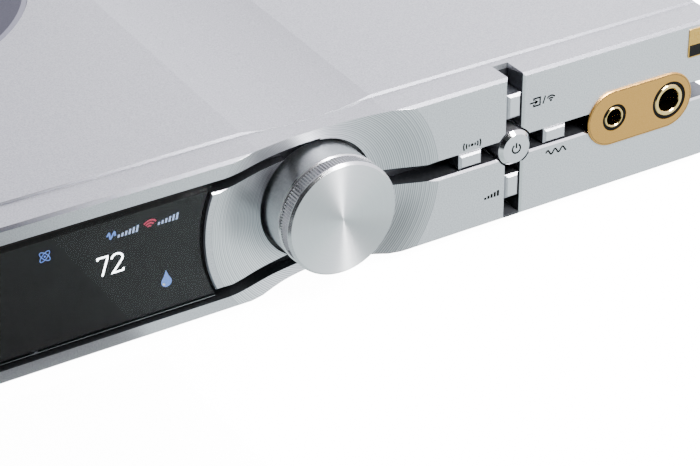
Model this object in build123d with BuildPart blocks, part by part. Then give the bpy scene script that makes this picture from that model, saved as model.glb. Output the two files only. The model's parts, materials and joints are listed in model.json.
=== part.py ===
"""Desktop headphone amplifier with a dished volume knob, a bar display and a cross of small buttons.

Units are millimetres. X runs across the front, +Y runs from the front face to the back and +Z is up.
The origin is on the table, under the middle of the whole object, knob and antenna included.
"""
from build123d import *
from math import cos, radians, sin
import os

os.makedirs("parts", exist_ok=True)

# ---- driving dimensions: case --------------------------------------------------------------------
CASE_W = 266.0          # width of the case
CASE_D = 216.0          # depth of the case, front face to rear face
FOOT_H = 3.0            # gap between the table and the underside
FACE_H = 39.0           # height of the flat front face
TOP_CHAMFER = 0.74      # chamfer between the front face and the band above it
LOWER_CHAMFER = 0.5     # chamfer along the lower edge of the front face
BAND_STEP = 0.56        # bevel from the front band up to the top of the cover
PANEL_D = 9.3           # depth of the solid front blocks, seen from above as a band
REBATE_Y = 7.2          # depth of the grooves, down to the black liner
COVER_T = 3.0           # wall of the top cover
TRAY_T = 2.5            # plate of the base tray
FIT = 0.05              # gap between parts that are screwed together
KNOB_OUT = 7.05         # how far the knob stands out in front of the face
ANTENNA_TILT = 17.0     # distance of the antenna's hinge behind the rear face
ANTENNA_R = 4.6         # radius of the antenna's rod at its root
ANTENNA_OUT = ANTENNA_TILT + ANTENNA_R

FRONT = (KNOB_OUT - CASE_D - ANTENNA_OUT) / 2
BACK = FRONT + CASE_D
HALF_W = CASE_W / 2
BASE_Z = FOOT_H
BAND_Z = BASE_Z + FACE_H + TOP_CHAMFER
TOP_Z = BAND_Z + BAND_STEP

# ---- driving dimensions: knob, dish and grooves --------------------------------------------------
KNOB_X = 16.0           # the knob's axis stands right of the middle
AXIS_Z = BASE_Z + 19.6  # height of the knob's axis and of the grooves' centre line
DISH_R = 31.5           # rim of the turned dish
DISH_MID = ((26.7, 1.2), (21.8, 3.1), (18.4, 4.2))    # radius and depth of the dish on its way in
DISH_FLOOR = 5.1        # depth of the dish beside the knob
GAP_R = 15.65           # hole that the knob turns in
KNOB_R = 14.95          # polished ring behind the knurl, the widest part of the knob
BARREL_R = 14.7         # barrel of the knob
RIM_R = 33.4            # outer arc of the centre piece, round the knob
CENTRE_HALF_H = 13.1    # half height of the centre piece and of the display
BAND_HALF_H = 14.9      # half height of the window between the two long strips
GROOVE_HALF = 2.28      # half width of the horizontal and vertical grooves
GROOVE_CHAMFER = 0.5    # bright chamfer along the grooves
STRIP_BEVEL = 1.15      # dark bevel round the display window
VALLEY_HALF_W = 17.7    # the shallow valley in the top, over the knob
VALLEY_COVER = 1.3      # its depth in the cover
VALLEY_BAND = 0.88      # its depth in the front band
VALLEY_UNDER = 1.4      # the same scoop on the underside
VALLEY_TURN = 1.9       # the valley leans this many degrees to the right on its way back

# ---- driving dimensions: controls and sockets ----------------------------------------------------
CROSS_X = KNOB_X + 53.92    # centre of the button cross
CROSS_Z = AXIS_Z + 0.3      # the grooves cross a little above the knob's axis
POWER_R = 4.8
POWER_HOLE_R = 5.3
POWER_OUT = 0.9
POWER_BEVEL = 0.9
BUTTON_L = 6.7
BUTTON_W = 4.0
BUTTON_BEVEL = 0.65
BUTTON_IN = 0.3             # the four small buttons sit just below the face
BUTTON_ACROSS = 12.7        # from the cross to the left and right buttons
BUTTON_UP = 11.2            # from the cross to the upper and lower buttons
BUTTON_BACK = 6.0           # depth of a button's solid head
STEM_END = 11.4             # depth of the end of a button's stem
STEM_R = 1.0
POWER_STEM_R = 1.5
DISPLAY_LEFT = KNOB_X - 137.0
GLASS_IN = 0.4
GLASS_T = 0.8
GLASS_HALF_H = 14.7
SCREEN_UP = 13.4            # the lit panel behind the glass, above the knob's axis
SCREEN_DOWN = 14.3          # and below it
PLATE_X = KNOB_X + 92.9     # middle of the jack plate
PLATE_Z = AXIS_Z + 0.1
PLATE_L = 33.1
PLATE_W = 15.4
PLATE_OUT = 0.45
PLATE_LIP = 1.4             # overlap of the plate on the front blocks
JACK_635_X = KNOB_X + 102.1
JACK_44_X = KNOB_X + 84.6
DISC_R = 58.7               # dark round plate in the top
DISC_X = KNOB_X - 81.0
DISC_Y = FRONT + 131.0
ANTENNA_X = 32.0
ANTENNA_Z = BASE_Z + 26.0
ANTENNA_TILT_Y = BACK + ANTENNA_TILT

# ---- driving dimensions: screws that hold the front blocks to the liner ----------------------------
PANEL_SCREW_X = (-126.0, -60.0, 52.0, 92.0, 126.0)
PANEL_SCREW_SPOTS = [(x, z) for x in PANEL_SCREW_X for z in (BASE_Z + 3.3, BAND_Z - 3.5)]
PANEL_SCREW_R = 0.9
PANEL_SCREW_HEAD_R = 1.7
PANEL_SCREW_TIP = 3.5   # depth that the screws reach to, from behind


def facing(depth, x=0.0, z=0.0):
    """A plane parallel to the front face, at this depth behind it, looking forwards."""
    return Plane(origin=(x, FRONT + depth, z), x_dir=(1, 0, 0), z_dir=(0, -1, 0))


def facing_back(y, x=0.0, z=0.0):
    """A plane parallel to the rear face that looks backwards."""
    return Plane(origin=(x, y, z), x_dir=(-1, 0, 0), z_dir=(0, 1, 0))


def write(part, name):
    """Label a finished piece and write it to its own file."""
    part.label = name
    export_step(part, f"parts/{name}.step")


def cut_dish(x=KNOB_X):
    """Turn the dish round the knob's axis and bore the knob's hole, in the part being built."""
    with BuildSketch(Plane(origin=(x, FRONT, AXIS_Z), x_dir=(1, 0, 0), z_dir=(0, 0, 1))) as profile:
        with BuildLine():
            Spline((DISH_R, 0), *DISH_MID, (GAP_R, DISH_FLOOR))
            Polyline((GAP_R, DISH_FLOOR), (0, DISH_FLOOR), (0, -2), (DISH_R, -2), (DISH_R, 0))
        make_face()
    revolve(profile.sketch, axis=Axis((x, FRONT, AXIS_Z), (0, 1, 0)), mode=Mode.SUBTRACT)
    with BuildSketch(facing(-1, x, AXIS_Z)) as hole:
        Circle(GAP_R)
    extrude(hole.sketch, amount=-(REBATE_Y + 1), mode=Mode.SUBTRACT)


def valley_sketch(level, depth, direction):
    """A shallow circular hollow across the case, cut down (+1) or up (-1) into a face at this level."""
    reach = 10.0
    with BuildLine() as hollow:
        ThreePointArc((-VALLEY_HALF_W, level), (0, level - direction * depth), (VALLEY_HALF_W, level))
        Polyline(
            (VALLEY_HALF_W, level),
            (VALLEY_HALF_W, level + direction * reach),
            (-VALLEY_HALF_W, level + direction * reach),
            (-VALLEY_HALF_W, level),
        )
    make_face(hollow.edges())


def cut_pocket(margin, depth_from, depth_to):
    """Open the long hole behind the jack plate."""
    with BuildSketch(facing(depth_from, PLATE_X, PLATE_Z)) as slot:
        SlotOverall(PLATE_L - 2 * margin, PLATE_W - 2 * margin)
    extrude(slot.sketch, amount=-(depth_to - depth_from), mode=Mode.SUBTRACT)


def beside_groove(edge):
    """Edges of the face that get the bright chamfer: along the grooves, the cross and the case's ends."""
    centre = edge.center()
    along_groove = abs(centre.Z - CROSS_Z) < 2 * GROOVE_HALF
    upright = abs(centre.X - CROSS_X) < 2 * GROOVE_HALF or abs(centre.X) > HALF_W - 1
    return along_groove or upright


def front_block(name, outline, top):
    """One solid block of the front: chamfered, rebated for the liner, then dished and scooped."""
    with BuildPart() as block:
        with BuildSketch(facing(0)):
            Polygon(*outline, align=None)
        extrude(amount=-PANEL_D)
        outer = -1 if top else 0
        chamfer(block.faces().sort_by(Axis.Y)[0].edges().sort_by(Axis.Z)[outer],
                TOP_CHAMFER if top else LOWER_CHAMFER)
        face_edges = block.faces().sort_by(Axis.Y)[0].edges()
        chamfer(face_edges.filter_by(beside_groove), GROOVE_CHAMFER)
        with BuildSketch(facing(-0.01)) as window:
            with Locations(((WINDOW_LEFT + KNOB_X) / 2, AXIS_Z)):
                Rectangle(KNOB_X - WINDOW_LEFT + 2 * STRIP_BEVEL, 2 * (BAND_HALF_H + STRIP_BEVEL))
        extrude(window.sketch, amount=-STRIP_BEVEL, taper=45, mode=Mode.SUBTRACT)
        rebate_low = BASE_Z + 1.4
        rebate_high = BAND_Z - 1.5
        with BuildSketch(facing(REBATE_Y, 0, (rebate_low + rebate_high) / 2)):
            Rectangle(CASE_W - 6, rebate_high - rebate_low)
        extrude(amount=-PANEL_D, mode=Mode.SUBTRACT)
        cut_dish()
        with BuildSketch(facing(-1, KNOB_X)):
            valley_sketch(BAND_Z, VALLEY_BAND, 1)
            valley_sketch(BASE_Z, VALLEY_UNDER, -1)
        extrude(amount=-(PANEL_D + 2), mode=Mode.SUBTRACT)
        with BuildSketch(facing(-1, CROSS_X, CROSS_Z)):
            Circle(POWER_HOLE_R)
        extrude(amount=-(REBATE_Y + 1), mode=Mode.SUBTRACT)
        cut_pocket(PLATE_LIP, -1, PANEL_D + 1)
        with BuildSketch(facing(REBATE_Y)) as screw_holes:
            with Locations(*PANEL_SCREW_SPOTS):
                Circle(PANEL_SCREW_R + 0.05)
        extrude(screw_holes.sketch, amount=REBATE_Y - PANEL_SCREW_TIP + 0.3, mode=Mode.SUBTRACT)
    write(block.part, name)


# ---- front blocks --------------------------------------------------------------------------------
GROOVE_TOP = CROSS_Z + GROOVE_HALF
GROOVE_LOW = CROSS_Z - GROOVE_HALF
STRIP_TOP = AXIS_Z + BAND_HALF_H
STRIP_LOW = AXIS_Z - BAND_HALF_H
CROSS_LEFT = CROSS_X - GROOVE_HALF
CROSS_RIGHT = CROSS_X + GROOVE_HALF
WINDOW_LEFT = DISPLAY_LEFT - 1.2


def left_outline(groove, strip, edge):
    """Outline of a long front block: end cap, strip along the display and shoulder beside the knob."""
    return (
        (-HALF_W, groove),
        (WINDOW_LEFT, groove),
        (WINDOW_LEFT, strip),
        (KNOB_X, strip),
        (KNOB_X, groove),
        (CROSS_LEFT, groove),
        (CROSS_LEFT, edge),
        (-HALF_W, edge),
    )


def right_outline(groove, edge):
    """Outline of the short block on the right of the button cross."""
    return ((CROSS_RIGHT, groove), (HALF_W, groove), (HALF_W, edge), (CROSS_RIGHT, edge))


front_block("front_panel_top", left_outline(GROOVE_TOP, STRIP_TOP, BAND_Z), True)
front_block("front_panel_bottom", left_outline(GROOVE_LOW, STRIP_LOW, BASE_Z), False)
front_block("front_panel_top_right", right_outline(GROOVE_TOP, BAND_Z), True)
front_block("front_panel_bottom_right", right_outline(GROOVE_LOW, BASE_Z), False)

# ---- centre piece: satin rim and turned dish between the display and the knob ---------------------
with BuildPart() as dish_centre:
    with BuildSketch(facing(0, KNOB_X, AXIS_Z)):
        Circle(RIM_R)
        with Locations((RIM_R / 2, 0)):
            Rectangle(RIM_R, 2 * RIM_R, mode=Mode.SUBTRACT)
        Rectangle(2 * RIM_R, 2 * CENTRE_HALF_H, mode=Mode.INTERSECT)
    extrude(amount=-(REBATE_Y - FIT))
    chamfer(dish_centre.faces().sort_by(Axis.Y)[0].edges(), 0.35)
    cut_dish()
write(dish_centre.part, "dish_centre")

# ---- liner: black plate behind the grooves, standing on the tray ----------------------------------
LINER_Y = REBATE_Y + FIT
LINER_T = 2.0
LINER_BACK = LINER_Y + LINER_T
BUTTONS = {
    "button_left": (-BUTTON_ACROSS, 0, BUTTON_L, BUTTON_W),
    "button_right": (BUTTON_ACROSS, 0, BUTTON_L, BUTTON_W),
    "button_up": (0, BUTTON_UP, BUTTON_W, BUTTON_L),
    "button_down": (0, -BUTTON_UP, BUTTON_W, BUTTON_L),
}
BUTTON_SPOTS = [(CROSS_X + spot[0], CROSS_Z + spot[1]) for spot in BUTTONS.values()]
LINER_SCREW_X = (-100.0, -30.0, 30.0, 110.0)
LINER_FOOT_D = 12.0
TRAY_TOP = BASE_Z + TRAY_T

with BuildPart() as front_liner:
    liner_low = BASE_Z + 1.45
    liner_high = BAND_Z - 1.6
    with BuildSketch(facing(LINER_Y, 0, (liner_low + liner_high) / 2)):
        Rectangle(CASE_W - 6.2, liner_high - liner_low)
    extrude(amount=-LINER_T)
    with BuildSketch(Plane.XY.offset(TRAY_TOP)):
        with Locations(*[(x, FRONT + LINER_Y + LINER_FOOT_D / 2) for x in LINER_SCREW_X]):
            Rectangle(14, LINER_FOOT_D)
    extrude(amount=LINER_T)
    with BuildSketch(facing(LINER_Y - 1, KNOB_X, AXIS_Z)):
        Circle(4.5)
    extrude(amount=-(LINER_T + 2), mode=Mode.SUBTRACT)
    with BuildSketch(facing(LINER_Y - 1)):
        with Locations(*BUTTON_SPOTS):
            Circle(STEM_R + 0.25)
        with Locations((CROSS_X, CROSS_Z)):
            Circle(POWER_STEM_R + 0.25)
        with Locations(*PANEL_SCREW_SPOTS):
            Circle(PANEL_SCREW_R + 0.1)
        with Locations((DISPLAY_LEFT + 30, AXIS_Z)):
            Rectangle(22, 3)
    extrude(amount=-(LINER_T + 2), mode=Mode.SUBTRACT)
    cut_pocket(PLATE_LIP, LINER_Y - 1, LINER_BACK + 1)
    with BuildSketch(facing(LINER_BACK)):
        with Locations(*PANEL_SCREW_SPOTS):
            Circle(PANEL_SCREW_HEAD_R + 0.1)
    extrude(amount=1.0, mode=Mode.SUBTRACT)
    with BuildSketch(Plane.XY.offset(TRAY_TOP)):
        with Locations(*[(x, FRONT + LINER_BACK + 5) for x in LINER_SCREW_X]):
            Circle(1.6)
    extrude(amount=LINER_T, mode=Mode.SUBTRACT)
write(front_liner.part, "front_liner")

with BuildPart() as panel_screws:
    with BuildSketch(facing(LINER_BACK)):
        with Locations(*PANEL_SCREW_SPOTS):
            Circle(PANEL_SCREW_HEAD_R)
    extrude(amount=1.0)
    with BuildSketch(facing(LINER_BACK - 1.0)):
        with Locations(*PANEL_SCREW_SPOTS):
            Circle(PANEL_SCREW_R)
    extrude(amount=LINER_BACK - 1.0 - PANEL_SCREW_TIP)
    with BuildSketch(facing(LINER_BACK)):
        with Locations(*PANEL_SCREW_SPOTS):
            RegularPolygon(0.8, 6)
    extrude(amount=0.6, mode=Mode.SUBTRACT)
write(panel_screws.part, "panel_screws")

# ---- display ------------------------------------------------------------------------------------
GLASS_ARC = RIM_R + 0.4
with BuildPart() as display_glass:
    with BuildSketch(facing(GLASS_IN)):
        with Locations(((DISPLAY_LEFT + KNOB_X) / 2, AXIS_Z)):
            RectangleRounded(KNOB_X - DISPLAY_LEFT, 2 * GLASS_HALF_H, 1.5)
        with Locations((KNOB_X, AXIS_Z)):
            Circle(GLASS_ARC, mode=Mode.SUBTRACT)
    extrude(amount=-GLASS_T)
    chamfer(display_glass.faces().sort_by(Axis.Y)[0].edges(), 0.25)
write(display_glass.part, "display_glass")

MODULE_FRONT = GLASS_IN + GLASS_T + FIT
with BuildPart() as display_module:
    with BuildSketch(facing(MODULE_FRONT)):
        with Locations(((DISPLAY_LEFT + 2 + KNOB_X) / 2, AXIS_Z + (SCREEN_UP - SCREEN_DOWN) / 2)):
            Rectangle(KNOB_X - DISPLAY_LEFT - 2, SCREEN_UP + SCREEN_DOWN)
        with Locations((KNOB_X, AXIS_Z)):
            Circle(GLASS_ARC + 0.2, mode=Mode.SUBTRACT)
    extrude(amount=-(LINER_Y - MODULE_FRONT - FIT))
write(display_module.part, "display_module")

with BuildPart() as display_ribbon:
    ribbon_x = DISPLAY_LEFT + 30
    with BuildSketch(Plane.YZ.offset(ribbon_x - 9)):
        with BuildLine():
            ribbon_route = Polyline(
                (FRONT + LINER_Y + 0.3, AXIS_Z),
                (FRONT + LINER_BACK + 6, AXIS_Z),
                (FRONT + LINER_BACK + 6, BASE_Z + 11.6),
                (FRONT + 28, BASE_Z + 11.6),
            )
            offset(ribbon_route, amount=0.15)
        make_face()
    extrude(amount=18)
write(display_ribbon.part, "display_ribbon")

# ---- knob and its encoder -------------------------------------------------------------------------
FACE_Y = FRONT - KNOB_OUT
KNURL_FROM = FACE_Y + 1.05
KNURL_TO = FACE_Y + 4.25
KNURL_R = KNOB_R - 0.3
KNOB_BACK = FRONT + 6.5
HUB_R = 5.0
SHAFT_R = 3.0
INSERT_R = 4.3
KNOB_AXIS = Axis((KNOB_X, FRONT, AXIS_Z), (0, 1, 0))
TURNING = Plane(origin=(KNOB_X, 0, AXIS_Z), x_dir=(1, 0, 0), z_dir=(0, 0, 1))
INSERT_FRONT = FACE_Y + 3.2
KNURL_COUNT = 120

with BuildPart() as knob:
    with BuildSketch(TURNING):
        with BuildLine():
            Polyline(
                (0, FACE_Y),
                (KNOB_R - 0.75, FACE_Y),
                (KNOB_R - 0.1, FACE_Y + 0.6),
                (KNOB_R - 0.1, KNURL_FROM - 0.15),
                (KNURL_R, KNURL_FROM),
                (KNURL_R, KNURL_TO),
                (KNOB_R, KNURL_TO + 0.35),
                (KNOB_R, KNURL_TO + 0.95),
                (BARREL_R, KNURL_TO + 1.25),
                (BARREL_R, KNOB_BACK),
                (BARREL_R - 2, KNOB_BACK),
                (BARREL_R - 2, INSERT_FRONT),
                (HUB_R, INSERT_FRONT),
                (HUB_R, FRONT + 3.5),
                (INSERT_R, FRONT + 3.5),
                (INSERT_R, INSERT_FRONT),
                (0, INSERT_FRONT),
                (0, FACE_Y),
            )
        make_face()
    revolve(axis=KNOB_AXIS)
    with BuildSketch(Plane(origin=(KNOB_X, KNURL_FROM, AXIS_Z), x_dir=(1, 0, 0), z_dir=(0, -1, 0))):
        with PolarLocations(KNURL_R, KNURL_COUNT):
            Rectangle(0.36, 0.36, rotation=45)
    extrude(amount=-(KNURL_TO - KNURL_FROM), mode=Mode.SUBTRACT)
write(knob.part, "knob")

with BuildPart() as knob_insert:
    with BuildSketch(Plane(origin=(KNOB_X, INSERT_FRONT, AXIS_Z), x_dir=(1, 0, 0), z_dir=(0, 1, 0))):
        Circle(INSERT_R)
        Circle(SHAFT_R, mode=Mode.SUBTRACT)
    extrude(amount=FRONT + 3.5 - INSERT_FRONT)
write(knob_insert.part, "knob_insert")

ENCODER_BACK = LINER_BACK + 9.0
PLUNGER_Y = LINER_BACK + 6.4
with BuildPart() as encoder_shaft:
    with BuildSketch(Plane(origin=(KNOB_X, INSERT_FRONT, AXIS_Z), x_dir=(1, 0, 0), z_dir=(0, 1, 0))):
        Circle(SHAFT_R)
    extrude(amount=FRONT + PLUNGER_Y - INSERT_FRONT)
write(encoder_shaft.part, "encoder_shaft")

with BuildPart() as encoder_plunger:
    with BuildSketch(facing(PLUNGER_Y, KNOB_X, AXIS_Z)):
        Circle(3.9)
    extrude(amount=-1.0)
write(encoder_plunger.part, "encoder_plunger")

with BuildPart() as encoder_bushing:
    with BuildSketch(facing(LINER_BACK, KNOB_X, AXIS_Z)):
        Circle(4.5)
        Circle(SHAFT_R + 0.05, mode=Mode.SUBTRACT)
    extrude(amount=LINER_T + 3.0)
write(encoder_bushing.part, "encoder_bushing")

with BuildPart() as encoder_nut:
    with BuildSketch(facing(LINER_Y, KNOB_X, AXIS_Z)):
        RegularPolygon(6.5, 6)
        Circle(4.5, mode=Mode.SUBTRACT)
    extrude(amount=2.0)
write(encoder_nut.part, "encoder_nut")

with BuildPart() as encoder_body:
    with BuildSketch(facing(LINER_BACK, KNOB_X, AXIS_Z)):
        RectangleRounded(14, 13, 1)
        Circle(SHAFT_R + 0.1, mode=Mode.SUBTRACT)
    extrude(amount=-(ENCODER_BACK - LINER_BACK))
    with BuildSketch(facing(LINER_BACK + 1, KNOB_X, AXIS_Z)):
        Circle(4.0)
    extrude(amount=-(ENCODER_BACK - LINER_BACK - 2), mode=Mode.SUBTRACT)
write(encoder_body.part, "encoder_body")

# ---- power button and the four buttons of the cross ----------------------------------------------
SWITCH_FRONT = LINER_BACK + 1.0
SWITCH_T = 2.4
BOARD_FRONT = SWITCH_FRONT + SWITCH_T

with BuildPart() as power_button:
    with BuildSketch(facing(-POWER_OUT, CROSS_X, CROSS_Z)):
        Circle(POWER_R)
    extrude(amount=-(POWER_OUT + BUTTON_BACK))
    chamfer(power_button.faces().sort_by(Axis.Y)[0].edges(), POWER_BEVEL)
    with BuildSketch(facing(BUTTON_BACK, CROSS_X, CROSS_Z)):
        Circle(POWER_STEM_R)
    extrude(amount=-(STEM_END - BUTTON_BACK))
write(power_button.part, "power_button")

for button_name, (dx, dz, width, height) in BUTTONS.items():
    with BuildPart() as button:
        with BuildSketch(facing(BUTTON_IN, CROSS_X + dx, CROSS_Z + dz)):
            Rectangle(width, height)
        extrude(amount=-(BUTTON_BACK - BUTTON_IN))
        chamfer(button.faces().sort_by(Axis.Y)[0].edges(), BUTTON_BEVEL)
        with BuildSketch(facing(BUTTON_BACK, CROSS_X + dx, CROSS_Z + dz)):
            Circle(STEM_R)
        extrude(amount=-(STEM_END - BUTTON_BACK))
    write(button.part, button_name)

with BuildPart() as tact_switches:
    with BuildSketch(facing(SWITCH_FRONT)):
        with Locations(*BUTTON_SPOTS):
            Rectangle(6, 6)
        with Locations(*BUTTON_SPOTS):
            Circle(STEM_R + 0.2, mode=Mode.SUBTRACT)
        with Locations((CROSS_X, CROSS_Z)):
            Rectangle(6, 6)
        with Locations((CROSS_X, CROSS_Z)):
            Circle(POWER_STEM_R + 0.2, mode=Mode.SUBTRACT)
    extrude(amount=-SWITCH_T)
write(tact_switches.part, "tact_switches")

with BuildPart() as button_board:
    with BuildSketch(facing(BOARD_FRONT, CROSS_X, CROSS_Z)):
        RectangleRounded(36, 31, 2)
    extrude(amount=-1.6)
    with BuildSketch(facing(LINER_BACK)):
        with Locations(*[(CROSS_X + x, CROSS_Z + z) for x in (-15.5, 15.5) for z in (-12.5, 12.5)]):
            Circle(2.0)
    extrude(amount=-(BOARD_FRONT - LINER_BACK))
write(button_board.part, "button_board")

# ---- jack plate and the two headphone jacks -------------------------------------------------------
JACK_635_RING_R = 5.26
JACK_44_RING_R = 3.69
JACKS = {
    # x, bore radius, collar radius, black ring radius, body radius, depth of the bore
    "jack_635": (JACK_635_X, 3.2, 4.36, JACK_635_RING_R, 7.4, 34.0),
    "jack_44": (JACK_44_X, 2.25, 2.88, JACK_44_RING_R, 6.2, 22.0),
}
JACK_NECK_R = 5.9
with BuildPart() as jack_plate:
    with BuildSketch(facing(-PLATE_OUT, PLATE_X, PLATE_Z)):
        SlotOverall(PLATE_L, PLATE_W)
    extrude(amount=-PLATE_OUT)
    chamfer(jack_plate.faces().sort_by(Axis.Y)[0].edges(), 0.18)
    with BuildSketch(facing(0, PLATE_X, PLATE_Z)):
        SlotOverall(PLATE_L - 2 * PLATE_LIP - 0.2, PLATE_W - 2 * PLATE_LIP - 0.2)
    extrude(amount=-1.2)
    with BuildSketch(facing(-1)):
        with Locations((JACK_635_X, PLATE_Z)):
            Circle(JACK_635_RING_R)
        with Locations((JACK_44_X, PLATE_Z)):
            Circle(JACK_44_RING_R)
    extrude(amount=-3, mode=Mode.SUBTRACT)
write(jack_plate.part, "jack_plate")

for jack_name, (jack_x, bore_r, collar_r, ring_r, body_r, bore_depth) in JACKS.items():
    jack_axis = Axis((jack_x, FRONT, PLATE_Z), (0, 1, 0))
    with BuildPart() as jack_ring:
        with BuildSketch(facing(-PLATE_OUT + 0.12, jack_x, PLATE_Z)):
            Circle(ring_r)
            Circle(collar_r, mode=Mode.SUBTRACT)
        extrude(amount=-(1.2 + PLATE_OUT - 0.12))
        chamfer(jack_ring.faces().sort_by(Axis.Y)[0].edges(), 0.12)
    write(jack_ring.part, f"{jack_name}_ring")

    with BuildPart() as jack_collar:
        with BuildSketch(facing(-PLATE_OUT, jack_x, PLATE_Z)):
            Circle(collar_r)
            Circle(bore_r, mode=Mode.SUBTRACT)
        extrude(amount=-(PLATE_OUT + 4.0))
        chamfer(jack_collar.faces().sort_by(Axis.Y)[0].edges(), 0.2)
    write(jack_collar.part, f"{jack_name}_collar")

    with BuildPart() as jack_body:
        with BuildSketch(Plane(origin=(jack_x, FRONT, PLATE_Z), x_dir=(1, 0, 0), z_dir=(0, 0, 1))):
            with BuildLine():
                Polyline(
                    (collar_r, 1.2),
                    (JACK_NECK_R, 1.2),
                    (JACK_NECK_R, LINER_BACK + 0.8),
                    (body_r, LINER_BACK + 0.8),
                    (body_r, bore_depth + 3),
                    (0, bore_depth + 3),
                    (0, bore_depth),
                    (bore_r, bore_depth),
                    (bore_r, 4.0),
                    (collar_r, 4.0),
                    (collar_r, 1.2),
                )
            make_face()
        revolve(axis=jack_axis)
    write(jack_body.part, f"{jack_name}_body")

with BuildPart() as headphone_board:
    with BuildSketch(Plane.XY.offset(PLATE_Z - 9.6)):
        with Locations((PLATE_X - 5, FRONT + 37)):
            RectangleRounded(30, 34, 1.5)
    extrude(amount=1.6)
    with BuildSketch(Plane.XY.offset(TRAY_TOP)):
        with Locations(*[(PLATE_X - 5 + x, FRONT + 37 + y) for x in (-12, 12) for y in (-14, 14)]):
            Circle(2.2)
    extrude(amount=PLATE_Z - 9.6 - TRAY_TOP)
write(headphone_board.part, "headphone_board")

# ---- badge on the right block: a plain two-tone plate without any mark ---------------------------
with BuildPart() as badge:
    with BuildSketch(facing(0, HALF_W - 5.5, BASE_Z + 34.1)):
        RectangleRounded(7.8, 8.0, 0.5)
    extrude(amount=0.25)
write(badge.part, "badge")

# ---- top cover with its valley and the round plate -----------------------------------------------
COVER_FRONT = FRONT + PANEL_D + FIT
COVER_LEN = BACK - COVER_FRONT
COVER_MID = (BACK + COVER_FRONT) / 2
SIDE_SCREW_Y = (-80.0, 0.0, 80.0)
SIDE_SCREW_Z = BASE_Z + 7.0
RAIL_LEN = 184.0
RAIL_H = 9.0
RAIL_W = 9.0
TONGUE_Y = REBATE_Y + FIT

with BuildPart() as top_cover:
    with BuildSketch(Plane.XY.offset(BASE_Z + 0.3)):
        with Locations((0, COVER_MID)):
            Rectangle(CASE_W, COVER_LEN)
    extrude(amount=TOP_Z - BASE_Z - 0.3)
    chamfer(top_cover.faces().sort_by(Axis.Z)[-1].edges(), BAND_STEP)
    with BuildSketch(Plane.XY.offset(BASE_Z + 0.3)):
        with Locations((0, COVER_MID)):
            Rectangle(CASE_W - 2 * COVER_T, COVER_LEN + 2)
    extrude(amount=TOP_Z - BASE_Z - 0.3 - COVER_T, mode=Mode.SUBTRACT)
    with BuildSketch(Plane.XY.offset(BAND_Z - 1.45)):
        with Locations((CROSS_X, FRONT + (TONGUE_Y + PANEL_D) / 2 + 1)):
            Rectangle(2 * GROOVE_HALF - 0.1, PANEL_D - TONGUE_Y + 2)
    extrude(amount=1.45)
    valley_slope = Plane(origin=(KNOB_X, COVER_FRONT, 0), x_dir=(cos(radians(VALLEY_TURN)),
                         -sin(radians(VALLEY_TURN)), 0), z_dir=(-sin(radians(VALLEY_TURN)),
                         -cos(radians(VALLEY_TURN)), 0))
    with BuildSketch(valley_slope.offset(2)):
        valley_sketch(TOP_Z, VALLEY_COVER, 1)
    extrude(amount=-(COVER_LEN + 20), mode=Mode.SUBTRACT)
    with BuildSketch(Plane.XY.offset(TOP_Z - COVER_T)):
        with Locations((DISC_X, DISC_Y)):
            Circle(DISC_R + 0.25)
    extrude(amount=COVER_T, mode=Mode.SUBTRACT)
    with BuildSketch(Plane.YZ.offset(-HALF_W)):
        with Locations(*[(y, SIDE_SCREW_Z) for y in SIDE_SCREW_Y]):
            Circle(2.0)
    extrude(amount=CASE_W, mode=Mode.SUBTRACT)
write(top_cover.part, "top_cover")

with BuildPart() as top_disc:
    with BuildSketch(Plane.XY.offset(TOP_Z - COVER_T - 1.5)):
        with Locations((DISC_X, DISC_Y)):
            Circle(DISC_R + 3.5)
    extrude(amount=1.5)
    with BuildSketch(Plane.XY.offset(TOP_Z - COVER_T)):
        with Locations((DISC_X, DISC_Y)):
            Circle(DISC_R)
    extrude(amount=COVER_T)
    chamfer(top_disc.faces().sort_by(Axis.Z)[-1].edges(), 0.45, 1.3)
write(top_disc.part, "top_disc")

# ---- base tray, side rails and rear panel ----------------------------------------------------------
INNER_HALF_W = HALF_W - COVER_T
REAR_T = 2.5
REAR_FRONT = BACK - REAR_T
RAIL_X = INNER_HALF_W - RAIL_W / 2 - FIT
TRAY_SCREW_SPOTS = [(side * RAIL_X, y) for side in (-1, 1) for y in (-75.0, 5.0, 75.0)]
FOOT_SPOTS = [(side * (HALF_W - 22), y) for side in (-1, 1) for y in (FRONT + 24, BACK - 24)]
STANDOFF_SPOTS = [(x, y) for x in (-112.0, -5.0, 72.0) for y in (-70.0, 0.0, 66.0)]
STANDOFF_H = 5.0

with BuildPart() as base_tray:
    with BuildSketch(Plane.XY.offset(BASE_Z)):
        with Locations((0, (COVER_FRONT + REAR_FRONT - FIT) / 2)):
            Rectangle(2 * INNER_HALF_W - 2 * FIT, REAR_FRONT - FIT - COVER_FRONT)
        with Locations(*TRAY_SCREW_SPOTS):
            Circle(1.7, mode=Mode.SUBTRACT)
    extrude(amount=TRAY_T)
    with BuildSketch(Plane.XY.offset(BASE_Z)):
        with Locations((CROSS_X, FRONT + (0.4 + PANEL_D + 2) / 2)):
            Rectangle(2 * GROOVE_HALF - 0.1, PANEL_D + 2 - 0.4)
    extrude(amount=0.7)
write(base_tray.part, "base_tray")

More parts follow.
